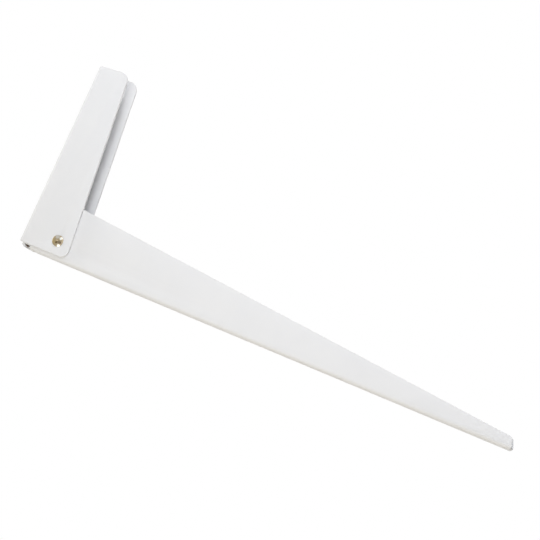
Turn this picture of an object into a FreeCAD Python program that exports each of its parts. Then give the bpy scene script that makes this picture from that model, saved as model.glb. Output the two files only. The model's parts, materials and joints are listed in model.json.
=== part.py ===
import FreeCAD, Part
import math
import os

# Drop leaf table bracket: a short channel screwed to the wall and a long tapered
# arm that carries the leaf. Millimetres. X points out from the wall, Z points up,
# Y runs across the bracket. The origin is on the wall plane, midway between the
# two wall screws.

# Sheet
sheet = 2.0                   # thickness of both folded channels
bend_inside = 1.0             # inside radius of every fold

# Wall channel
wall_width = 25.0             # across the outer faces of its flanges
wall_length = 149.5           # along its web
wall_reach_top = 42.2         # wall to flange edge at the pivot end
wall_reach_foot = 26.5        # wall to flange edge at the foot
foot_slope = 1.9              # how far the foot end drops from web to flange edge
top_corner_radius = 6.0
foot_corner_radius = 7.5
wall_screw_bore = 5.5
wall_screw_pitch = 75.0
foot_screw_margin = 14.0      # foot end of the web to the lower screw

# Support arm
arm_length = 400.0
arm_root_height = 47.0
arm_tip_height = 8.6
arm_above_wall_channel = 3.1  # top of the arm above the end of the wall channel
arm_side_gap = 0.5            # between the flanges of the arm and of the wall channel
arm_wall_gap = 0.5            # between the root of the arm and the wall channel's web
tip_lean = 21.5               # degrees that the flanges' ends lean back at the tip
tip_nose_radius = 2.5         # rounds the web's end, seen from the side
tip_corner_radius = 1.5       # rounds the flanges' free corner at the tip
end_tab_seam = 0.2            # between the end tab and the flanges behind it
relief_length = 4.0           # corner relief beside the end tab, along the arm
relief_below_web = 0.5        # corner relief, down from the inner face of the web
relief_inset = 7.0            # corner relief, in from the outer face of the flange
leaf_screw_bore = 5.0
leaf_screw_count = 3
leaf_screw_root_margin = 77.5 # root end of the arm to the first leaf screw
leaf_screw_tip_margin = 22.5  # last leaf screw to the tip of the arm

# Pivot
pivot_reach = 30.0            # wall plane to the rivet
pivot_drop = 13.8             # top of the arm to the rivet
rivet_shank = 6.5
rivet_head = 9.0
rivet_head_rise = 0.9         # height of the dome above the flange
rivet_head_edge = 0.3         # height of the dome's outer edge above the flange
rivet_dimple = 2.4            # across the lip of the dimple in each dome
rivet_dimple_depth = 0.5
rivet_fit = 0.05              # radial clearance of the rivet in its holes
sleeve_outside = 10.0
sleeve_slot_gap = 0.3         # between the sleeve and the slot that rides on it
seat_depth = 0.8              # how far the raised arm can settle onto the sleeve
fold_angle = 90.0

# How far a cutting shape reaches past the material that it cuts
overcut = 2.0

# Places that follow from the sizes above
foot_z = -(wall_screw_pitch / 2 + foot_screw_margin)
wall_top_z = foot_z + wall_length
arm_top_z = wall_top_z + arm_above_wall_channel
bend_outside = bend_inside + sheet
arm_width = wall_width - 2 * sheet - 2 * arm_side_gap
arm_root_x = sheet + arm_wall_gap
arm_tip_x = arm_root_x + arm_length
pivot_z = arm_top_z - pivot_drop
arm_taper = math.atan2(arm_root_height - arm_tip_height, arm_length)
leaf_screw_pitch = (arm_length - leaf_screw_root_margin - leaf_screw_tip_margin) / (leaf_screw_count - 1)


def free_edge_z(x):
    """Height of the free edge of the arm's flanges at a distance from the wall."""
    return arm_top_z - arm_root_height + (x - arm_root_x) * math.tan(arm_taper)


def fold_centre_shift():
    """Distance, outward and downward alike, from the rivet to the centre of folding.

    The centre is as far from the root line of the arm as from its free edge, so
    the root can be one arc about it, tangent to both lines.
    """
    edge_distance = (pivot_z - free_edge_z(pivot_reach)) * math.cos(arm_taper)
    root_distance = pivot_reach - arm_root_x
    growth = 1 + math.cos(arm_taper) + math.sin(arm_taper)
    return (edge_distance - root_distance) / growth


fold_shift = fold_centre_shift()
fold_x = pivot_reach + fold_shift
fold_z = pivot_z - fold_shift
root_radius = fold_x - arm_root_x
raised_direction = math.atan2(pivot_z - fold_z, pivot_reach - fold_x)
folded_direction = raised_direction + math.radians(fold_angle)


def point(x, z, y=0.0):
    return FreeCAD.Vector(x, y, z)


def around_fold(radius, angle):
    """Point at a distance from the centre of folding, its angle counted from +X to +Z."""
    return point(fold_x + radius * math.cos(angle), fold_z + radius * math.sin(angle))


def line(start, end):
    return Part.LineSegment(start, end).toShape()


def arc_around_fold(radius, start_angle, end_angle):
    middle_angle = (start_angle + end_angle) / 2
    places = [around_fold(radius, angle) for angle in (start_angle, middle_angle, end_angle)]
    return Part.Arc(*places).toShape()


def rounded_corner(before, corner, after, radius):
    """Arc that rounds one corner of an outline, with its two ends."""
    back = before - corner
    forward = after - corner
    half = back.getAngle(forward) / 2
    back.normalize()
    forward.normalize()
    bisector = back + forward
    bisector.normalize()
    start = corner + back * (radius / math.tan(half))
    end = corner + forward * (radius / math.tan(half))
    middle = corner + bisector * (radius / math.sin(half) - radius)
    return start, end, Part.Arc(start, middle, end).toShape()


def rounded_outline(corners):
    """Closed wire in the XZ plane from (x, z, radius) corners, in order."""
    places = [point(x, z) for x, z, radius in corners]
    starts = []
    ends = []
    arcs = []
    for index, corner in enumerate(places):
        radius = corners[index][2]
        if radius > 0:
            after = places[(index + 1) % len(places)]
            start, end, arc = rounded_corner(places[index - 1], corner, after, radius)
            arcs.append(arc)
        else:
            start = end = corner
        starts.append(start)
        ends.append(end)
    sides = [line(ends[index - 1], starts[index]) for index in range(len(places))]
    return Part.Wire(Part.__sortEdges__(arcs + sides))


def prism(wire, width):
    """Solid from a wire in the XZ plane, centred on y = 0."""
    wire.translate(FreeCAD.Vector(0, -width / 2, 0))
    return Part.Face(wire).extrude(FreeCAD.Vector(0, width, 0))


def folded_section(width, height):
    """U section in the XY plane: web on x = 0, flanges towards +X, open there."""
    inner = width / 2 - sheet
    outer = width / 2
    turn = math.sin(math.pi / 4)

    def arc(centre_y, radius):
        outward = math.copysign(radius, centre_y)
        low = FreeCAD.Vector(bend_outside - radius, centre_y, 0)
        middle = FreeCAD.Vector(bend_outside - radius * turn, centre_y + outward * turn, 0)
        high = FreeCAD.Vector(bend_outside, centre_y + outward, 0)
        return Part.Arc(low, middle, high).toShape()

    centre = outer - bend_outside

    def side(x1, y1, x2, y2):
        return line(FreeCAD.Vector(x1, y1, 0), FreeCAD.Vector(x2, y2, 0))

    edges = [
        side(0, -centre, 0, centre),
        arc(centre, bend_outside),
        side(bend_outside, outer, height, outer),
        side(height, outer, height, inner),
        side(height, inner, bend_outside, inner),
        arc(centre, bend_inside),
        side(sheet, centre, sheet, -centre),
        arc(-centre, bend_inside),
        side(bend_outside, -inner, height, -inner),
        side(height, -inner, height, -outer),
        side(height, -outer, bend_outside, -outer),
        arc(-centre, bend_outside),
    ]
    return Part.Face(Part.Wire(Part.__sortEdges__(edges)))


def cross_bar(x, z, diameter, length):
    """Round bar along Y, centred on y = 0."""
    return Part.makeCylinder(diameter / 2, length, point(x, z, -length / 2), FreeCAD.Vector(0, 1, 0))


def screw_hole(bore, place, direction):
    """Cutting bar for a screw hole through one sheet, from its outer face inwards."""
    start = place - direction * overcut
    return Part.makeCylinder(bore / 2, sheet + 2 * overcut, start, direction)


def make_wall_channel():
    """Short channel with its web on the wall and tapered flanges, open outwards."""
    section = folded_section(wall_width, wall_reach_top + overcut)
    section.translate(point(0, foot_z - foot_slope - overcut))
    channel = section.extrude(point(0, wall_length + foot_slope + 2 * overcut))
    side = rounded_outline([
        (0.0, foot_z, 0.0),
        (0.0, wall_top_z, 0.0),
        (wall_reach_top, wall_top_z, top_corner_radius),
        (wall_reach_foot, foot_z - foot_slope, foot_corner_radius),
    ])
    channel = channel.common(prism(side, wall_width + 2 * overcut))
    for z in (-wall_screw_pitch / 2, wall_screw_pitch / 2):
        channel = channel.cut(screw_hole(wall_screw_bore, point(0, z), point(1, 0)))
    rivet_hole = cross_bar(pivot_reach, pivot_z, rivet_shank + 2 * rivet_fit, wall_width + 2 * overcut)
    return channel.cut(rivet_hole)


def tip_corners():
    """Corners of the tip before rounding: of the web, and of the flanges' free edge."""
    lean = math.radians(tip_lean)
    nose_half = (math.pi / 2 - lean) / 2
    web_x = arm_tip_x - tip_nose_radius + tip_nose_radius / math.tan(nose_half)
    height_at_wall = arm_top_z - free_edge_z(0)
    free_x = (web_x - height_at_wall * math.tan(lean)) / (1 - math.tan(arm_taper) * math.tan(lean))
    return point(web_x, arm_top_z), point(free_x, free_edge_z(free_x))


def arm_side_view():
    """Side view of the arm's flanges: set back behind the end tab, round at the root."""
    flange_root_x = arm_root_x + sheet + end_tab_seam
    tab_bend_end_x = arm_root_x + bend_outside
    relief_end_x = tab_bend_end_x + relief_length
    relief_z = arm_top_z - sheet - relief_below_web
    start_angle = math.pi + math.acos((fold_x - flange_root_x) / root_radius)
    end_angle = 3 * math.pi / 2 + arm_taper
    arc_start = around_fold(root_radius, start_angle)
    arc_end = around_fold(root_radius, end_angle)
    web_corner, free_corner = tip_corners()
    relief_top = point(relief_end_x, arm_top_z)
    tip_start, tip_end, tip_arc = rounded_corner(arc_end, free_corner, web_corner, tip_corner_radius)
    nose_start, nose_end, nose_arc = rounded_corner(free_corner, web_corner, relief_top, tip_nose_radius)
    corners = [
        nose_end,
        relief_top,
        point(relief_end_x, relief_z),
        point(tab_bend_end_x, relief_z),
        point(flange_root_x, arm_top_z - bend_outside - end_tab_seam),
        arc_start,
    ]
    root_arc = arc_around_fold(root_radius, start_angle, end_angle)
    edges = [root_arc, line(arc_end, tip_start), tip_arc, line(tip_end, nose_start), nose_arc]
    for start, end in zip(corners, corners[1:]):
        edges.append(line(start, end))
    return Part.Wire(Part.__sortEdges__(edges))


def make_fold_slot():
    """Slot swept by the sleeve while the arm folds about its centre, with its seat."""
    width = arm_width + 2 * overcut
    radius = sleeve_outside / 2 + sleeve_slot_gap
    reach = math.hypot(pivot_reach - fold_x, pivot_z - fold_z) + radius
    folded = around_fold(reach - radius, folded_direction)
    swept = prism(Part.Wire([
        line(point(fold_x, fold_z), around_fold(reach, raised_direction)),
        arc_around_fold(reach, raised_direction, folded_direction),
        line(around_fold(reach, folded_direction), point(fold_x, fold_z)),
    ]), width)
    seat_sides = Part.makeBox(2 * radius, width, seat_depth, point(pivot_reach - radius, pivot_z, -width / 2))
    return swept.fuse([
        cross_bar(pivot_reach, pivot_z, 2 * radius, width),
        cross_bar(folded.x, folded.z, 2 * radius, width),
        cross_bar(pivot_reach, pivot_z + seat_depth, 2 * radius, width),
        seat_sides,
    ]).removeSplitter()


def make_corner_relief(side):
    """Cut beside the end tab's bend, from the flange's outer face into the web."""
    inner_y = arm_width / 2 - relief_inset
    low_y = inner_y if side > 0 else -arm_width / 2 - overcut
    place = point(arm_root_x + bend_outside, arm_top_z - sheet - relief_below_web, low_y)
    return Part.makeBox(relief_length, relief_inset + overcut, sheet + relief_below_web + overcut, place)


def make_support_arm():
    """Long channel with its web under the leaf, an end tab at the root, open downwards."""
    section = folded_section(arm_width, arm_root_height + overcut)
    section.rotate(FreeCAD.Vector(), FreeCAD.Vector(0, 1, 0), 90)
    section.translate(point(arm_root_x, arm_top_z))
    arm = section.extrude(point(arm_length + overcut, 0))
    arm = arm.common(prism(arm_side_view(), arm_width + 2 * overcut))
    arm = arm.fuse(make_end_tab())
    for side in (-1, 1):
        arm = arm.cut(make_corner_relief(side))
    for index in range(leaf_screw_count):
        place = point(arm_root_x + leaf_screw_root_margin + index * leaf_screw_pitch, arm_top_z)
        arm = arm.cut(screw_hole(leaf_screw_bore, place, point(0, -1)))
    return arm.cut(make_fold_slot()).removeSplitter()


def make_end_tab():
    """Root end of the web, folded down to stand along the wall channel's web."""
    turn = math.sin(math.pi / 4)
    centre_x = arm_root_x + bend_outside
    centre_z = arm_top_z - bend_outside
    join_x = centre_x + relief_length + bend_inside
    inner_x = arm_root_x + sheet
    under_z = arm_top_z - sheet

    def bend(radius):
        low = point(centre_x - radius, centre_z)
        middle = point(centre_x - radius * turn, centre_z + radius * turn)
        high = point(centre_x, centre_z + radius)
        return Part.Arc(low, middle, high).toShape()

    side_view = Part.Wire([
        bend(bend_outside),
        line(point(centre_x, arm_top_z), point(join_x, arm_top_z)),
        line(point(join_x, arm_top_z), point(join_x, under_z)),
        line(point(join_x, under_z), point(centre_x, under_z)),
        bend(bend_inside),
        line(point(inner_x, centre_z), point(inner_x, fold_z)),
        line(point(inner_x, fold_z), point(arm_root_x, fold_z)),
        line(point(arm_root_x, fold_z), point(arm_root_x, centre_z)),
    ])
    strip_width = arm_width - 2 * bend_outside
    strip = Part.makeBox(join_x - centre_x, strip_width, sheet, point(centre_x, under_z, -strip_width / 2))
    tab_place = point(arm_root_x, arm_top_z - arm_root_height, -arm_width / 2)
    tab = Part.makeBox(bend_outside, arm_width, arm_root_height, tab_place)
    return prism(side_view, arm_width).common(tab.fuse(strip))


def make_pivot_rivet():
    """Solid rivet through both flanges of the wall channel, its domes dimpled by the tool."""
    flange_y = wall_width / 2
    shank = rivet_shank / 2
    rim = rivet_head / 2
    lip = rivet_dimple / 2
    crown_y = flange_y + rivet_head_rise
    rim_y = flange_y + rivet_head_edge
    dimple_y = crown_y - rivet_dimple_depth

    def at(radius, y):
        return FreeCAD.Vector(radius, y, 0)

    dimple = Part.BezierCurve()
    dimple.setPoles([at(0, dimple_y), at(lip / 2, dimple_y), at(lip / 2, crown_y), at(lip, crown_y)])
    dome = Part.BezierCurve()
    dome.setPoles([at(lip, crown_y), at(rim, crown_y), at(rim, rim_y)])
    half_section = Part.Face(Part.Wire([
        line(at(0, 0), at(0, dimple_y)),
        dimple.toShape(),
        dome.toShape(),
        line(at(rim, rim_y), at(rim, flange_y)),
        line(at(rim, flange_y), at(shank, flange_y)),
        line(at(shank, flange_y), at(shank, 0)),
        line(at(shank, 0), at(0, 0)),
    ]))
    end = half_section.revolve(FreeCAD.Vector(), FreeCAD.Vector(0, 1, 0), 360)
    other_end = end.mirror(FreeCAD.Vector(), FreeCAD.Vector(0, 1, 0))
    rivet = end.fuse(other_end).removeSplitter()
    rivet.translate(point(pivot_reach, pivot_z))
    return rivet


def make_spacer_sleeve():
    """Sleeve on the rivet that keeps the flanges apart and carries the arm's slots."""
    length = wall_width - 2 * sheet
    outside = cross_bar(pivot_reach, pivot_z, sleeve_outside, length)
    bore = cross_bar(pivot_reach, pivot_z, rivet_shank + 2 * rivet_fit, length + 2 * overcut)
    return outside.cut(bore)


def main():
    os.makedirs("parts", exist_ok=True)
    pieces = {
        "wall_channel": make_wall_channel(),
        "support_arm": make_support_arm(),
        "pivot_rivet": make_pivot_rivet(),
        "spacer_sleeve": make_spacer_sleeve(),
    }
    for name, shape in pieces.items():
        shape.exportStep("parts/" + name + ".step")
        box = shape.BoundBox
        print(name, "solids", len(shape.Solids), "valid", shape.isValid(), "volume", round(shape.Volume, 1))
        print("  from", round(box.XMin, 2), round(box.YMin, 2), round(box.ZMin, 2))
        print("  to", round(box.XMax, 2), round(box.YMax, 2), round(box.ZMax, 2))
    print("fold centre", round(fold_x, 4), round(fold_z, 4), "root radius", round(root_radius, 4))


main()
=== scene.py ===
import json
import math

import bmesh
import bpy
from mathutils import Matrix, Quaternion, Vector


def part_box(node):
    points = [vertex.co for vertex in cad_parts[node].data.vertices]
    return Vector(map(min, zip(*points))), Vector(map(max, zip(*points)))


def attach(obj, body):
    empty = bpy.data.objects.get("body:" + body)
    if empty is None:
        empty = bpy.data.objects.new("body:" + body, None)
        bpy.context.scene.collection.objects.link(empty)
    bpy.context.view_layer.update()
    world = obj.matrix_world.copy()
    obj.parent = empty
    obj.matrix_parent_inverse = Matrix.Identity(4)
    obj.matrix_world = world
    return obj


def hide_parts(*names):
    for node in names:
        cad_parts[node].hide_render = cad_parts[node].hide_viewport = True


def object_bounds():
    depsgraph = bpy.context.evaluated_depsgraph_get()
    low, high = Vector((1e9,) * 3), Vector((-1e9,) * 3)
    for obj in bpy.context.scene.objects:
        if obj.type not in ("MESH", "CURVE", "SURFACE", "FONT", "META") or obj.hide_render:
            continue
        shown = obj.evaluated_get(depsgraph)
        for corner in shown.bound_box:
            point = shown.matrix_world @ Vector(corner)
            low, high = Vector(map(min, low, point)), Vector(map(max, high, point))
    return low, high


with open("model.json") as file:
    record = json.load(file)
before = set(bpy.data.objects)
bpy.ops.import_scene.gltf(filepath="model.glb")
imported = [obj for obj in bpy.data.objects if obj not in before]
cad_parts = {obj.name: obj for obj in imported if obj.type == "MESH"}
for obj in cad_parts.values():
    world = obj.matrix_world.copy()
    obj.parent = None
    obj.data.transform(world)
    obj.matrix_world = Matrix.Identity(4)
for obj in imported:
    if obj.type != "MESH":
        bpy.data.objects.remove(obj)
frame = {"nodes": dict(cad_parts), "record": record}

# %% [markdown]
# A folding table bracket: two steel channels, a rivet, and a sleeve on the rivet.
#
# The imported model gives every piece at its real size, so this lesson never moves or
# resizes anything. It adds what a drawing of the parts leaves out: paint that rounds
# the cut edges, the marks that punching and riveting leave, and the light of a photo
# studio. Everything is in metres, and the millimetre is the handiest unit for details.

MM = 0.001
IN_MM = 1 / MM
cad_low, cad_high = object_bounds()
MIDDLE = (cad_low + cad_high) / 2
print("overall size in mm", [round(side / MM, 1) for side in cad_high - cad_low])

# %% [markdown]
# The camera comes first, because every later choice is judged through it.
#
# The photograph shows the bracket from its side with a long lens, a little in front of
# the tip, and turned on its head. A camera is easiest to read as three facts: where it
# stands, what it looks at, and how far it is rolled. A roll is a turn about the
# camera's own Z axis, so it is multiplied on the right of the aiming turn.

# %% Camera
CAMERA_PLACE = Vector((0.48305, 0.98921, 0.16037))
CAMERA_AIM = Vector((0.19002, 0.0, 0.04615))
CAMERA_ROLL = math.radians(-156.314)
CAMERA_LENS = 93.33
NEAREST_SEEN = 0.05
FURTHEST_SEEN = 20.0


def aim_at(target, place):
    """The turn that points a camera or a lamp, which look along their own -Z, at a target."""
    return (target - place).to_track_quat("-Z", "Y")


def add_camera():
    camera = bpy.data.objects.new("camera", bpy.data.cameras.new("camera"))
    bpy.context.scene.collection.objects.link(camera)
    camera.data.lens = CAMERA_LENS
    camera.data.clip_start = NEAREST_SEEN
    camera.data.clip_end = FURTHEST_SEEN
    camera.location = CAMERA_PLACE
    camera.rotation_mode = "QUATERNION"
    roll = Quaternion((0, 0, 1), CAMERA_ROLL)
    camera.rotation_quaternion = aim_at(CAMERA_AIM, CAMERA_PLACE) @ roll
    return camera


bpy.context.scene.camera = add_camera()
print("camera distance in m", round((CAMERA_AIM - CAMERA_PLACE).length, 3))

# %% [markdown]
# The world, the floor and every finish are node trees. Written out one link at a time,
# such a tree is hard to read, so a few helpers let a line of code say what a node is
# and what feeds it. An input takes either a plain value or another node's output.
# A node's settings are made first, because they decide which inputs it has.

# %% Helpers for nodes
def put(tree, socket, value):
    """Sets an input to a value, or links it to another node's output."""
    if isinstance(value, bpy.types.NodeSocket):
        tree.links.new(value, socket)
    else:
        socket.default_value = value


def set_inputs(tree, node, **inputs):
    """Sets or links inputs, each named as Blender shows it, with _ for a space."""
    for name, value in inputs.items():
        put(tree, node.inputs[name.replace("_", " ")], value)
    return node


def add_node(tree, kind, settings=None, **inputs):
    node = tree.nodes.new(kind)
    for name, value in (settings or {}).items():
        setattr(node, name, value)
    return set_inputs(tree, node, **inputs)


def calculate(tree, operation, *values, kind="ShaderNodeMath"):
    """Adds a Math or Vector Math node for some values and gives back its one live output."""
    node = add_node(tree, kind, {"operation": operation})
    for socket, value in zip(node.inputs, values):
        put(tree, socket, value)
    return next(output for output in node.outputs if output.enabled)


def mix_shaders(tree, factor, first, second):
    mix = add_node(tree, "ShaderNodeMixShader", Fac=factor)
    tree.links.new(first, mix.inputs[1])
    tree.links.new(second, mix.inputs[2])
    return mix.outputs[0]


print("helpers for nodes are ready")

# %% [markdown]
# The world is the white of the studio. It has two jobs that need different values: what
# the camera and the reflections see has to be pure white, and what it adds as fill
# light has to leave room for the lamps. Light Path tells a shader which kind of ray is
# asking, so one world can answer both ways.

# %% World
WHITE = (1.0, 1.0, 1.0, 1.0)
WHITE_STRENGTH = 1.0
FILL_STRENGTH = 0.22


def seen_rays(tree):
    """One where the camera, a reflection or clear glass asks, and zero for plain light."""
    path = tree.nodes.new("ShaderNodeLightPath").outputs
    seen = calculate(tree, "MAXIMUM", path["Is Camera Ray"], path["Is Glossy Ray"])
    return calculate(tree, "MAXIMUM", seen, path["Is Transmission Ray"])


def make_world():
    world = bpy.data.worlds.new("studio")
    world.use_nodes = True
    tree = world.node_tree
    tree.nodes.clear()
    fill = add_node(tree, "ShaderNodeBackground", Color=WHITE, Strength=FILL_STRENGTH)
    white = add_node(tree, "ShaderNodeBackground", Color=WHITE, Strength=WHITE_STRENGTH)
    both = mix_shaders(tree, seen_rays(tree), fill.outputs[0], white.outputs[0])
    add_node(tree, "ShaderNodeOutputWorld", Surface=both)
    return world


bpy.context.scene.world = make_world()
bpy.context.scene.view_settings.view_transform = "Standard"
print("world fill", FILL_STRENGTH)

# %% [markdown]
# The lamps are plain soft boxes. Each stands at its place and aims at the middle of the
# object. Two stand beside the camera and give the flanges their even tone. A small one
# stands low, on the side of the channel's open foot, and sends light up into the
# hollow. One hangs above, and one high in front puts the highlight on the rivet. The
# box on the wall's side lights the bend that faces the wall, which is the left edge of
# this view. The last two light the tip's end and the far side, for somebody who walks
# round the bracket. The one behind stands lower than the arm's web, because the web is
# seen almost edge on and mirrors what stands just above its own level.
#
# How strong should each be? Light adds up, so each lamp was rendered alone, and a
# least squares fit found how much of each comes nearest to the tones of the
# photograph. Its watts and tints were rounded, and a few were then changed.

# %% Lamps
NEUTRAL = (1.0, 1.0, 1.0)
SOFT_BOXES = {
    # name: (place, side of the square, watts, colour)
    "box_front": ((0.42, 1.26, 0.25), 0.36, 4.4, NEUTRAL),
    "box_front_low": ((0.42, 1.24, -0.31), 0.36, 1.6, (0.7, 0.75, 1.0)),
    "box_low": ((0.12, 0.45, -0.39), 0.16, 1.08, (0.9, 0.93, 1.0)),
    "box_above": ((0.20, 0.05, 1.35), 0.80, 6.0, (1.0, 0.92, 0.82)),
    "box_high": ((0.20, 0.90, 0.90), 0.36, 2.8, (1.0, 0.95, 0.8)),
    "box_wall_side": ((-1.40, 0.15, 0.00), 0.50, 7.7, (1.0, 0.99, 0.95)),
    "box_right": ((1.45, -0.40, 0.00), 0.50, 1.3, NEUTRAL),
    "box_behind": ((0.00, -1.40, -0.22), 0.50, 12.0, NEUTRAL),
}


def add_soft_box(name, place, side, watts, colour):
    lamp = bpy.data.objects.new(name, bpy.data.lights.new(name, "AREA"))
    bpy.context.scene.collection.objects.link(lamp)
    lamp.data.shape = "SQUARE"
    lamp.data.size = side
    lamp.data.energy = watts
    lamp.data.color = colour
    lamp.location = Vector(place)
    lamp.rotation_mode = "QUATERNION"
    lamp.rotation_quaternion = aim_at(MIDDLE, lamp.location)


for box_name, box_values in SOFT_BOXES.items():
    add_soft_box(box_name, *box_values)
print("soft boxes", sorted(SOFT_BOXES))

# %% [markdown]
# The floor lies below the lowest reach of the folded arm, so no pose cuts through it.
# It also lies well below the small low lamp, which would burn a bright patch into a
# floor close under it.
#
# Near the bracket it is a pale matt surface that takes the shadow. Further out it fades
# into the white of the world, which hides the horizon. From below it is clear, so the
# underside of the bracket can be looked at as well.

# %% Floor
FLOOR_DROP = 0.52
FLOOR_SIDE = 12.0
FLOOR_PALE = (0.90, 0.90, 0.90, 1.0)
SHADOW_ROOM = 0.22
FADE_WIDTH = 0.30


def make_floor_material():
    material = bpy.data.materials.new("studio_floor")
    material.use_nodes = True
    tree = material.node_tree
    tree.nodes.clear()
    place = tree.nodes.new("ShaderNodeTexCoord").outputs["Object"]
    under_object = (-MIDDLE.x, -MIDDLE.y, FLOOR_DROP)
    centred = add_node(tree, "ShaderNodeMapping", Vector=place, Location=under_object)
    distance = calculate(tree, "LENGTH", centred.outputs[0], kind="ShaderNodeVectorMath")
    fade = add_node(tree, "ShaderNodeMapRange", {"interpolation_type": "SMOOTHSTEP"}, Value=distance,
                    From_Min=SHADOW_ROOM, From_Max=SHADOW_ROOM + FADE_WIDTH)
    whiteness = calculate(tree, "MULTIPLY", fade.outputs[0], seen_rays(tree))
    matt = add_node(tree, "ShaderNodeBsdfDiffuse", Color=FLOOR_PALE)
    white = add_node(tree, "ShaderNodeEmission", Color=WHITE, Strength=WHITE_STRENGTH)
    clear = add_node(tree, "ShaderNodeBsdfTransparent")
    underside = tree.nodes.new("ShaderNodeNewGeometry").outputs["Backfacing"]
    top = mix_shaders(tree, whiteness, matt.outputs[0], white.outputs[0])
    both = mix_shaders(tree, underside, top, clear.outputs[0])
    add_node(tree, "ShaderNodeOutputMaterial", Surface=both)
    return material


def add_floor():
    mesh = bpy.data.meshes.new("floor")
    half = FLOOR_SIDE / 2
    corners = [(-half, -half), (half, -half), (half, half), (-half, half)]
    mesh.from_pydata([(x, y, -FLOOR_DROP) for x, y in corners], [], [(0, 1, 2, 3)])
    mesh.materials.append(make_floor_material())
    floor = bpy.data.objects.new("floor", mesh)
    bpy.context.scene.collection.objects.link(floor)
    return floor


add_floor()
print("floor at z in m", -FLOOR_DROP)

# %% [markdown]
# Powder coat is a melted plastic skin. From close by it has a fine waviness, called
# orange peel, and a still finer grain. Bare zinc has a grain too, only smaller and
# sharper. The same effect at another scale is one shader node group with its own
# inputs, which each material then places with its own values. The group gives out
# only a height, and the material turns that into a bent normal.

# %% Shared effect: surface grain
def add_sockets(tree, direction, sockets):
    """Gives a group its sockets. Each has a first value, or else the name of its kind."""
    for name, value in sockets.items():
        has_value = not isinstance(value, str)
        kind = "NodeSocketFloat" if has_value else value
        socket = tree.interface.new_socket(name=name, in_out=direction, socket_type=kind)
        if has_value:
            socket.default_value = value


def start_group(name, inputs, output, tree_kind="ShaderNodeTree", output_kind="NodeSocketFloat"):
    """A node group with its sockets: the tree, what its inputs give, and its one output."""
    tree = bpy.data.node_groups.new(name, tree_kind)
    add_sockets(tree, "INPUT", inputs)
    add_sockets(tree, "OUTPUT", {output: output_kind})
    inside = tree.nodes.new("NodeGroupInput")
    outside = tree.nodes.new("NodeGroupOutput")
    return tree, inside.outputs, outside.inputs[output]


def make_surface_grain():
    inputs = {"Vector": "NodeSocketVector", "Wave Scale": 500.0, "Grain Scale": 3000.0, "Grain Share": 0.3}
    tree, given, height = start_group("surface_grain", inputs, "Height")
    place = given["Vector"]
    wave = add_node(tree, "ShaderNodeTexNoise", Vector=place, Scale=given["Wave Scale"], Detail=1.0)
    grain = add_node(tree, "ShaderNodeTexNoise", Vector=place, Scale=given["Grain Scale"], Detail=2.0)
    mix = add_node(tree, "ShaderNodeMix", {"data_type": "FLOAT"}, Factor=given["Grain Share"],
                   A=wave.outputs["Fac"], B=grain.outputs["Fac"])
    put(tree, height, mix.outputs["Result"])
    return tree


surface_grain = make_surface_grain()
print("group", surface_grain.name, [s.name for s in surface_grain.interface.items_tree])

# %% [markdown]
# No finish is the same all over. Its tone and its gloss drift slowly from place to
# place, so this group puts out a value that wanders between two limits. Every finish
# of the bracket places it, each with its own scale and limits. Noise seldom comes near
# zero or one, so its middle part is stretched over the whole way between the limits.

# %% Shared effect: slow drift
NOISE_USUAL_LOW = 0.3
NOISE_USUAL_HIGH = 0.7


def make_slow_drift():
    inputs = {"Vector": "NodeSocketVector", "Scale": 50.0, "Low": 0.0, "High": 1.0}
    tree, given, value = start_group("slow_drift", inputs, "Value")
    noise = add_node(tree, "ShaderNodeTexNoise", Vector=given["Vector"], Scale=given["Scale"], Detail=3.0)
    ramp = add_node(tree, "ShaderNodeMapRange", Value=noise.outputs["Fac"], From_Min=NOISE_USUAL_LOW,
                    From_Max=NOISE_USUAL_HIGH, To_Min=given["Low"], To_Max=given["High"])
    put(tree, value, ramp.outputs["Result"])
    return tree


slow_drift = make_slow_drift()
print("group", slow_drift.name, [s.name for s in slow_drift.interface.items_tree])

# %% [markdown]
# Some marks sit at one place: painted shade in a slot's corner, a painted reflection at
# a dimple. A spot is a distance from a point, turned into a mask that is one inside and
# fades out. A little noise in the distance makes its border wander. The coordinates that
# go in are in millimetres, so a noise scale near one gives waves that are near a
# millimetre long.

# %% Shared effect: soft spot
BORDER_NOISE_SCALE = 1.3


def make_soft_spot():
    inputs = {"Vector": "NodeSocketVector", "Centre": "NodeSocketVector",
              "Radius": 1.0, "Fade": 1.0, "Wander": 0.5}
    tree, given, mask = start_group("soft_spot", inputs, "Mask")
    gap = calculate(tree, "DISTANCE", given["Vector"], given["Centre"], kind="ShaderNodeVectorMath")
    noise = add_node(tree, "ShaderNodeTexNoise", Vector=given["Vector"], Scale=BORDER_NOISE_SCALE, Detail=2.0)
    uneven_gap = calculate(tree, "MULTIPLY_ADD", noise.outputs["Fac"], given["Wander"], gap)
    reach = calculate(tree, "ADD", given["Radius"], given["Fade"])
    ramp = add_node(tree, "ShaderNodeMapRange", {"interpolation_type": "SMOOTHSTEP"}, Value=uneven_gap,
                    From_Min=given["Radius"], From_Max=reach, To_Min=1.0, To_Max=0.0)
    put(tree, mask, ramp.outputs["Result"])
    return tree


soft_spot = make_soft_spot()
print("group", soft_spot.name, [s.name for s in soft_spot.interface.items_tree])

# %% [markdown]
# Handling rubs plated pieces bright on their ridges. Cycles knows how pointed a surface
# is at each vertex, and a curve turns that into a mask that is one on ridges. It suits
# small pieces with many facets, such as the rivet and the sleeve.

# %% Shared effect: ridge mask
def make_ridge_mask():
    tree, given, mask = start_group("ridge_mask", {"Start": 0.52, "End": 0.62}, "Mask")
    pointed = tree.nodes.new("ShaderNodeNewGeometry").outputs["Pointiness"]
    ramp = add_node(tree, "ShaderNodeMapRange", {"interpolation_type": "SMOOTHSTEP"}, Value=pointed,
                    From_Min=given["Start"], From_Max=given["End"])
    put(tree, mask, ramp.outputs["Result"])
    return tree


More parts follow.
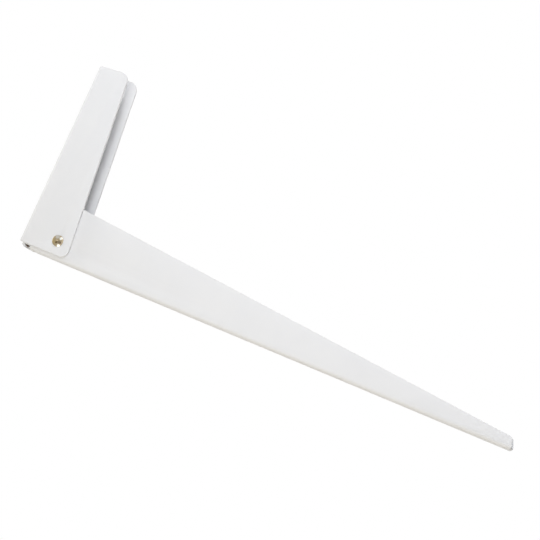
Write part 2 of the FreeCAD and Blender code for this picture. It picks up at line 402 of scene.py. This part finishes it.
ridge_mask = make_ridge_mask()
print("group", ridge_mask.name, [s.name for s in ridge_mask.interface.items_tree])

# %% [markdown]
# The three finishes are built alike: a base colour, marks mixed over it one after the
# other, a drifting gloss and a little relief. What they share is written once here.
# Coordinates can be moved to a piece's centre and scaled, so that a mark's place and
# size are read in millimetres, and they can be shortened along one axis, which makes a
# round mark long in that direction.

# %% Helpers for materials
def start_material(name):
    material = bpy.data.materials.new(name)
    material.use_nodes = True
    tree = material.node_tree
    place = tree.nodes.new("ShaderNodeTexCoord").outputs["Object"]
    return material, tree, tree.nodes["Principled BSDF"], place


def place_group(tree, group, **inputs):
    """Places a shared effect in a material and gives back its one output."""
    return add_node(tree, "ShaderNodeGroup", {"node_tree": group}, **inputs).outputs[0]


def mix_colours(tree, factor, first, second):
    """Mixes two colours, each of them a fixed one or another node's output."""
    first, second = [(*c, 1.0) if isinstance(c, tuple) else c for c in (first, second)]
    mix = add_node(tree, "ShaderNodeMix", {"data_type": "RGBA"}, Factor=factor, A=first, B=second)
    return mix.outputs["Result"]


def centre_on(tree, place, centre, scale):
    """Object coordinates moved to a centre and scaled, so 1.0 there may be a millimetre."""
    move = tuple(-value * scale for value in centre)
    mapping = add_node(tree, "ShaderNodeMapping", Vector=place, Location=move, Scale=(scale, scale, scale))
    return mapping.outputs[0]


def flatten(tree, vector, scale):
    """Scales a vector along each axis. A zero drops that axis from the pattern."""
    return calculate(tree, "MULTIPLY", vector, scale, kind="ShaderNodeVectorMath")


def relief(tree, height, depth):
    bump = add_node(tree, "ShaderNodeBump", Strength=1.0, Distance=depth, Height=height)
    return bump.outputs["Normal"]


print("helpers for materials are ready")

# %% [markdown]
# The paint is a satin white powder coat. A white that shows its form must not be pure:
# its tone drifts a little from place to place, and so does its gloss. Both come from
# slow noise on Object coordinates, so the pattern stays where it is when the arm folds.
#
# On rounded edges the melted powder draws back and gets thin, so the steel makes it a
# little darker there. Inside the small slot beside the end tab, at the arm's root, the
# colour is painted shade: a dark brown that stands in for the shade deep in that slot.
# The other side has the same slot. The material takes a list of such places, in
# millimetres. Each is one spot of painted shade, made long across the bracket as the
# slot is.

# %% Material: white powder coat
COAT_WHITE = (0.805, 0.805, 0.80)
COAT_CLOUD = (0.785, 0.787, 0.787)
COAT_THIN = (0.74, 0.73, 0.71)
CLOUD_SCALE = 35.0
COAT_WEAR = {"Scale": 260.0, "Low": 0.15, "High": 0.8}
COAT_GLOSS = {"Scale": 60.0, "Low": 0.50, "High": 0.60}
COAT_PEEL = {"Wave_Scale": 620.0, "Grain_Scale": 3600.0, "Grain_Share": 0.25}
COAT_PEEL_DEPTH = 0.03 * MM
COAT_SPECULAR = 0.25
EDGE_MARK = "rounded_edge"
# Painted shade: the dark brown that stands in for the shade inside the slots at the arm's root.
PAINTED_SHADE_BROWN = (0.24, 0.155, 0.10)
CORNER_SPOT = {"Radius": 1.15, "Fade": 0.3, "Wander": 0.2}
CORNER_STRETCH = 0.3

# In millimetres: in from the root's end, down from the arm's top, out from the middle.
CORNER_IN = 2.8
CORNER_DOWN = 2.3
CORNER_OUT = 5.4
arm_low, arm_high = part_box("support_arm")
corner_x = arm_low.x / MM + CORNER_IN
corner_z = arm_high.z / MM - CORNER_DOWN
ROOT_CORNERS = [(corner_x, side * CORNER_OUT, corner_z) for side in (-1, 1)]


def make_powder_coat(name, shaded_corners=()):
    material, tree, shader, place = start_material(name)
    cloud = place_group(tree, slow_drift, Vector=place, Scale=CLOUD_SCALE)
    colour = mix_colours(tree, cloud, COAT_WHITE, COAT_CLOUD)
    edge = add_node(tree, "ShaderNodeAttribute", {"attribute_name": EDGE_MARK})
    worn = place_group(tree, slow_drift, Vector=place, **COAT_WEAR)
    thin = calculate(tree, "MULTIPLY", edge.outputs["Fac"], worn)
    colour = mix_colours(tree, thin, colour, COAT_THIN)
    in_mm = centre_on(tree, place, (0, 0, 0), IN_MM)
    along_corner = flatten(tree, in_mm, (1, CORNER_STRETCH, 1))
    # Painted shade: one dark brown spot inside each slot at the arm's root.
    for x, y, z in shaded_corners:
        centre = (x, y * CORNER_STRETCH, z)
        spot = place_group(tree, soft_spot, Vector=along_corner, Centre=centre, **CORNER_SPOT)
        colour = mix_colours(tree, spot, colour, PAINTED_SHADE_BROWN)
    gloss = place_group(tree, slow_drift, Vector=place, **COAT_GLOSS)
    peel = place_group(tree, surface_grain, Vector=place, **COAT_PEEL)
    set_inputs(tree, shader, Base_Color=colour, Roughness=gloss, Specular_IOR_Level=COAT_SPECULAR,
               Normal=relief(tree, peel, COAT_PEEL_DEPTH))
    return material


wall_coat = make_powder_coat("white_powder_coat")
arm_coat = make_powder_coat("white_powder_coat_arm", ROOT_CORNERS)
print("material", arm_coat.name, "has", len(arm_coat.node_tree.nodes), "nodes")

# %% [markdown]
# The rivet is steel with a yellow zinc plate, and no two square millimetres of its head
# are alike. The plate drifts between straw and brown. Over that lies painted light: a
# straw flank is painted shade, a greyer flank is a painted reflection, one flank and one
# place at the head's edge carry painted highlights, and a dark spot at the dimple with a
# brown band running out along X is a painted reflection of dark surroundings. Each of
# these is a soft spot on coordinates that a Mapping node centres on the rivet. They
# leave out the rivet's own axis, Y, so both heads carry the same marks. The brown band
# is a spot made long along X.
#
# A riveting tool that turns as it presses leaves faint rings. Noise in one dimension,
# read at the distance from the axis, makes rings of uneven height.

# %% Material: yellow zinc plate
ZINC_STRAW = (0.36, 0.285, 0.15)
ZINC_BROWN = (0.34, 0.285, 0.20)
ZINC_GREY = (0.50, 0.475, 0.42)
# Rubbed zinc on the ridges, and the colour of a painted highlight on one flank.
ZINC_RUBBED_AND_HIGHLIGHT = (0.80, 0.81, 0.76)
# A painted highlight at the head's edge.
ZINC_HIGHLIGHT = (0.95, 0.91, 0.80)
# Painted reflections: dark colours that stand in for dark surroundings seen in the head.
REFLECTION_DARK = (0.11, 0.07, 0.025)
REFLECTION_BROWN = (0.19, 0.15, 0.105)
ZINC_DRIFT_SCALE = 0.45
ZINC_GLOSS = {"Scale": 1.1, "Low": 0.26, "High": 0.40}
ZINC_RIDGE = {"Start": 0.53, "End": 0.66}
RIDGE_SHARE = 0.12
# Painted light on the head: painted shade, painted reflections and painted highlights.
RIVET_PAINTED_LIGHT = {
    # name: (centre in mm from the axis, radius, fade, colour)
    "straw shaded flank": ((-3.2, 0.0, 2.0), 1.6, 1.6, ZINC_STRAW),
    "grey reflecting flank": ((-1.3, 0.0, -3.2), 1.5, 1.2, ZINC_GREY),
    "highlight on flank": ((2.0, 0.0, -2.4), 1.0, 0.7, ZINC_RUBBED_AND_HIGHLIGHT),
    "highlight at edge": ((2.2, 0.0, 3.2), 1.05, 0.6, ZINC_HIGHLIGHT),
    "dark reflection at dimple": ((-0.4, 0.0, 1.5), 0.6, 0.9, REFLECTION_DARK),
}
# A painted reflection: a brown band along X that stands in for dark surroundings.
REFLECTION_BAND = {"Radius": 0.7, "Fade": 0.9}
REFLECTION_BAND_X = 2.2
REFLECTION_BAND_Z = 0.7
TRACK_STRETCH = 0.4
RING_SCALE = 9.0
RING_DEPTH = 0.012 * MM


def make_yellow_zinc():
    material, tree, shader, place = start_material("yellow_zinc")
    rivet_low, rivet_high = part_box("pivot_rivet")
    centred = centre_on(tree, place, (rivet_low + rivet_high) / 2, IN_MM)
    face = flatten(tree, centred, (1, 0, 1))
    track = flatten(tree, centred, (TRACK_STRETCH, 0, 1))
    drift = place_group(tree, slow_drift, Vector=centred, Scale=ZINC_DRIFT_SCALE)
    colour = mix_colours(tree, drift, ZINC_BROWN, ZINC_STRAW)
    # The brown band along X is a painted reflection.
    track_centre = (REFLECTION_BAND_X * TRACK_STRETCH, 0.0, REFLECTION_BAND_Z)
    dark_band = place_group(tree, soft_spot, Vector=track, Centre=track_centre, **REFLECTION_BAND)
    colour = mix_colours(tree, dark_band, colour, REFLECTION_BROWN)
    # These marks paint shade, reflections and highlights onto the head.
    for centre, radius, fade, tone in RIVET_PAINTED_LIGHT.values():
        spot = place_group(tree, soft_spot, Vector=face, Centre=centre, Radius=radius, Fade=fade)
        colour = mix_colours(tree, spot, colour, tone)
    ridge = calculate(tree, "MULTIPLY", place_group(tree, ridge_mask, **ZINC_RIDGE), RIDGE_SHARE)
    colour = mix_colours(tree, ridge, colour, ZINC_RUBBED_AND_HIGHLIGHT)
    gloss = place_group(tree, slow_drift, Vector=centred, **ZINC_GLOSS)
    radius = calculate(tree, "LENGTH", face, kind="ShaderNodeVectorMath")
    rings = add_node(tree, "ShaderNodeTexNoise", {"noise_dimensions": "1D"}, W=radius,
                     Scale=RING_SCALE, Detail=2.0)
    set_inputs(tree, shader, Base_Color=colour, Roughness=gloss, Metallic=1.0,
               Normal=relief(tree, rings.outputs["Fac"], RING_DEPTH))
    return material


yellow_zinc = make_yellow_zinc()
print("material", yellow_zinc.name, "has", len(yellow_zinc.node_tree.nodes), "nodes")

# %% [markdown]
# The sleeve between the flanges is plain zinc. It is hardly seen, but a folded arm
# uncovers it, so it gets the same care: a blue grey plate with a fine dry grain, rubbed
# bright on its ridges.

# %% Material: bright zinc plate
PLATE_LIGHT = (0.70, 0.71, 0.73)
PLATE_DARK = (0.52, 0.53, 0.56)
PLATE_RUBBED = (0.80, 0.80, 0.81)
PLATE_DRIFT_SCALE = 300.0
PLATE_GLOSS = {"Scale": 700.0, "Low": 0.30, "High": 0.45}
PLATE_RIDGE = {"Start": 0.52, "End": 0.60}
PLATE_GRAIN = {"Wave_Scale": 1500.0, "Grain_Scale": 7000.0, "Grain_Share": 0.5}
PLATE_GRAIN_DEPTH = 0.010 * MM


def make_bright_zinc():
    material, tree, shader, place = start_material("bright_zinc")
    drift = place_group(tree, slow_drift, Vector=place, Scale=PLATE_DRIFT_SCALE)
    colour = mix_colours(tree, drift, PLATE_LIGHT, PLATE_DARK)
    colour = mix_colours(tree, place_group(tree, ridge_mask, **PLATE_RIDGE), colour, PLATE_RUBBED)
    gloss = place_group(tree, slow_drift, Vector=place, **PLATE_GLOSS)
    grain = place_group(tree, surface_grain, Vector=place, **PLATE_GRAIN)
    set_inputs(tree, shader, Base_Color=colour, Roughness=gloss, Metallic=1.0,
               Normal=relief(tree, grain, PLATE_GRAIN_DEPTH))
    return material


bright_zinc = make_bright_zinc()
print("material", bright_zinc.name, "has", len(bright_zinc.node_tree.nodes), "nodes")

# %% [markdown]
# The channels are folded from sheet, and their cut edges are square in the model. Paint
# and tumbling round every such edge, and that thin rounded line is what catches light.
#
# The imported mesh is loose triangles, so its doubles are merged first and its flat faces
# joined again. A Bevel modifier then rounds each edge that turns more than a bend's
# facets do. It can give the faces that it makes a material slot of their own, and that
# mark is turned into an attribute, so the paint knows where it lies on an edge. Harden
# Normals keeps the flat faces flat, and the result is baked into a plain mesh.

# %% Painted channels
EDGE_ROUNDING = 0.35 * MM
EDGE_STEPS = 3
EDGE_ANGLE = math.radians(35)
EDGE_SLOT = 1
MERGE_DISTANCE = 0.002 * MM
FLAT_ANGLE = math.radians(0.5)


def merged_copy(node):
    mesh = bmesh.new()
    mesh.from_mesh(frame["nodes"][node].data)
    bmesh.ops.remove_doubles(mesh, verts=mesh.verts, dist=MERGE_DISTANCE)
    bmesh.ops.dissolve_limit(mesh, angle_limit=FLAT_ANGLE, verts=mesh.verts, edges=mesh.edges)
    copy = bpy.data.meshes.new(node + "_merged")
    mesh.to_mesh(copy)
    mesh.free()
    return copy


def add_piece(name, mesh):
    piece = bpy.data.objects.new(name, mesh)
    bpy.context.scene.collection.objects.link(piece)
    return piece


def bake(piece):
    """Replaces a piece's live modifiers by their result."""
    graph = bpy.context.evaluated_depsgraph_get()
    result = bpy.data.meshes.new_from_object(piece.evaluated_get(graph))
    piece.modifiers.clear()
    piece.data = result


def mark_edges(mesh):
    """Turns the edges' material slot into an attribute of the faces, then drops the slot."""
    mark = mesh.attributes.new(EDGE_MARK, "FLOAT", "FACE")
    count = 0
    for face in mesh.polygons:
        on_edge = face.material_index == EDGE_SLOT
        mark.data[face.index].value = float(on_edge)
        count += on_edge
        face.material_index = 0
    mesh.materials.pop(index=EDGE_SLOT)
    return count


def painted_channel(node, name, body, coat):
    piece = add_piece(name, merged_copy(node))
    piece.data.materials.clear()
    piece.data.materials.append(coat)
    piece.data.materials.append(coat)
    piece.data.shade_smooth()
    rounding = piece.modifiers.new("rounding", "BEVEL")
    rounding.width = EDGE_ROUNDING
    rounding.segments = EDGE_STEPS
    rounding.limit_method = "ANGLE"
    rounding.angle_limit = EDGE_ANGLE
    rounding.harden_normals = True
    rounding.material = EDGE_SLOT
    bake(piece)
    edge_faces = mark_edges(piece.data)
    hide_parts(node)
    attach(piece, body)
    print(name, "faces", len(piece.data.polygons), "of them on edges", edge_faces)


painted_channel("wall_channel", "wall_channel_painted", "wall_side", wall_coat)
painted_channel("support_arm", "support_arm_painted", "arm", arm_coat)

# %% [markdown]
# A punch leaves a low burr round the far mouth of every hole, and the paint flows over
# it as a smooth ring. Five holes want five rings, so a Geometry Nodes tree makes them:
# a flattened bead is swept round a circle, what would lie deep in the sheet is cut off
# level, and one ring is set on each point of a small mesh, turned the way that hole
# faces. A little noise then makes the rings uneven. They lie inside the channels, where
# the screw heads would sit, and stand out less than half a millimetre.

# %% Tree for punched rims
RIM_STEPS = 48
BEAD_STEPS = 10
RIM_WIDTH = 0.9 * MM
RIM_RISE = 0.28 * MM
RIM_SUNK = 0.06 * MM
RIM_WANDER = 0.07 * MM
RIM_NOISE_SCALE = 700.0
NOISE_MIDDLE = (0.5, 0.5, 0.5)
FACING = "facing"


def move_points(tree, geometry, **target):
    return add_node(tree, "GeometryNodeSetPosition", Geometry=geometry, **target).outputs["Geometry"]


def sweep_bead(tree, given):
    """An oval bead swept round a circle, so that it begins at the edge of the hole."""
    half_width = calculate(tree, "MULTIPLY", given["Width"], 0.5)
    ring_radius = calculate(tree, "ADD", given["Hole Radius"], half_width)
    ring = add_node(tree, "GeometryNodeCurvePrimitiveCircle", Resolution=RIM_STEPS, Radius=ring_radius)
    bead = add_node(tree, "GeometryNodeCurvePrimitiveCircle", Resolution=BEAD_STEPS, Radius=1.0)
    place = tree.nodes.new("GeometryNodeInputPosition").outputs[0]
    size = add_node(tree, "ShaderNodeCombineXYZ", X=given["Rise"], Y=half_width)
    oval = calculate(tree, "MULTIPLY", place, size.outputs[0], kind="ShaderNodeVectorMath")
    profile = move_points(tree, bead.outputs["Curve"], Position=oval)
    sweep = add_node(tree, "GeometryNodeCurveToMesh", Curve=ring.outputs["Curve"], Profile_Curve=profile)
    return sweep.outputs["Mesh"]


def cut_level(tree, mesh, depth):
    """Lifts what lies deeper than a depth to that depth."""
    place = tree.nodes.new("GeometryNodeInputPosition").outputs[0]
    split = add_node(tree, "ShaderNodeSeparateXYZ", Vector=place).outputs
    lowest = calculate(tree, "MULTIPLY", depth, -1.0)
    level = calculate(tree, "MAXIMUM", split["Z"], lowest)
    target = add_node(tree, "ShaderNodeCombineXYZ", X=split["X"], Y=split["Y"], Z=level)
    return move_points(tree, mesh, Position=target.outputs[0])


def set_on_points(tree, points, ring):
    attribute = add_node(tree, "GeometryNodeInputNamedAttribute", {"data_type": "FLOAT_VECTOR"}, Name=FACING)
    turn = add_node(tree, "FunctionNodeAlignRotationToVector", {"axis": "Z"},
                    Vector=attribute.outputs["Attribute"])
    rings = add_node(tree, "GeometryNodeInstanceOnPoints", Points=points, Instance=ring,
                     Rotation=turn.outputs["Rotation"])
    return add_node(tree, "GeometryNodeRealizeInstances", Geometry=rings.outputs["Instances"]).outputs[0]


def make_uneven(tree, mesh, amount, seed):
    place = tree.nodes.new("GeometryNodeInputPosition").outputs[0]
    noise = add_node(tree, "ShaderNodeTexNoise", {"noise_dimensions": "4D"}, Vector=place, W=seed,
                     Scale=RIM_NOISE_SCALE)
    both_ways = calculate(tree, "SUBTRACT", noise.outputs["Color"], NOISE_MIDDLE, kind="ShaderNodeVectorMath")
    push = add_node(tree, "ShaderNodeVectorMath", {"operation": "SCALE"}, Vector=both_ways, Scale=amount)
    return move_points(tree, mesh, Offset=push.outputs["Vector"])


def rim_tree(coat):
    inputs = {"Geometry": "NodeSocketGeometry", "Hole Radius": 2.5 * MM, "Width": RIM_WIDTH,
              "Rise": RIM_RISE, "Sunk": RIM_SUNK, "Wander": RIM_WANDER, "Seed": 3.0}
    tree, given, result = start_group("punched_rims", inputs, "Geometry", "GeometryNodeTree",
                                      "NodeSocketGeometry")
    ring = cut_level(tree, sweep_bead(tree, given), given["Sunk"])
    rings = set_on_points(tree, given["Geometry"], ring)
    rings = make_uneven(tree, rings, given["Wander"], given["Seed"])
    smooth = add_node(tree, "GeometryNodeSetShadeSmooth", Geometry=rings)
    painted = add_node(tree, "GeometryNodeSetMaterial", Geometry=smooth.outputs[0], Material=coat)
    put(tree, result, painted.outputs[0])
    return tree


print("each rim has", RIM_STEPS * BEAD_STEPS, "faces")

# %% [markdown]
# The tree knows what a rim looks like, and now it needs to know where the holes are.
# Their places could be typed in again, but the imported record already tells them: a
# mount is a point on the outer face of the sheet, an axis that points out of it, and
# the pattern's spacing. The middle hole's length is the thickness of the sheet. So the
# rims stay with their holes when those are moved.

# %% Punched hole rims
mounts = {mount["name"]: mount for mount in frame["record"]["mounts"]}
wall_screws = mounts["wall_screws"]
leaf_screws = mounts["leaf_screws"]
sheet = mounts["leaf_screw_middle"]["dims"]["length_mm"] * MM
wall_spread = wall_screws["dims"]["spacing_y_mm"] * MM / 2
leaf_spread = leaf_screws["dims"]["spacing_x_mm"] * MM / 2
wall_x, wall_y, wall_z = wall_screws["pos_m"]
leaf_x, leaf_y, leaf_z = leaf_screws["pos_m"]
WALL_HOLES = [(wall_x + sheet, wall_y, wall_z + side * wall_spread) for side in (-1, 1)]
LEAF_HOLES = [(leaf_x + side * leaf_spread, leaf_y, leaf_z - sheet) for side in (-1, 0, 1)]


def set_input(modifier, name, value):
    """A modifier's input is set by its socket's identifier, found here by its name."""
    for item in modifier.node_group.interface.items_tree:
        if item.item_type == "SOCKET" and item.in_out == "INPUT" and item.name == name:
            modifier[item.identifier] = value


def punched_rims(name, places, screws, body, coat):
    """One rim at each place, on the inner face: it faces against the axis of the mount."""
    mesh = bpy.data.meshes.new(name + "_points")
    mesh.from_pydata(places, [], [])
    attribute = mesh.attributes.new(FACING, "FLOAT_VECTOR", "POINT")
    for point in attribute.data:
        point.vector = [-value for value in screws["axis"]]
    piece = add_piece(name, mesh)
    modifier = piece.modifiers.new("rims", "NODES")
    modifier.node_group = rim_tree(coat)
    set_input(modifier, "Hole Radius", screws["dims"]["hole_r_mm"] * MM)
    set_input(modifier, "Seed", float(len(places)))
    bake(piece)
    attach(piece, body)
    print(name, "rings", len(places), "faces", len(piece.data.polygons))


punched_rims("wall_hole_rims", WALL_HOLES, wall_screws, "wall_side", wall_coat)
punched_rims("arm_hole_rims", LEAF_HOLES, leaf_screws, "arm", arm_coat)

# %% [markdown]
# The rivet and the sleeve are turned and pressed pieces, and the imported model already
# has their true shapes: the low domes with their dimples, and a plain tube. They could
# be copied as the channels were, but they have no cut edges for paint to round. So they
# stay as they are, and only their material slots get the finishes made above.

# %% Rivet and sleeve
for node, finish in (("pivot_rivet", yellow_zinc), ("spacer_sleeve", bright_zinc)):
    for slot in frame["nodes"][node].material_slots:
        slot.material = finish
    print(node, "finished in", finish.name)
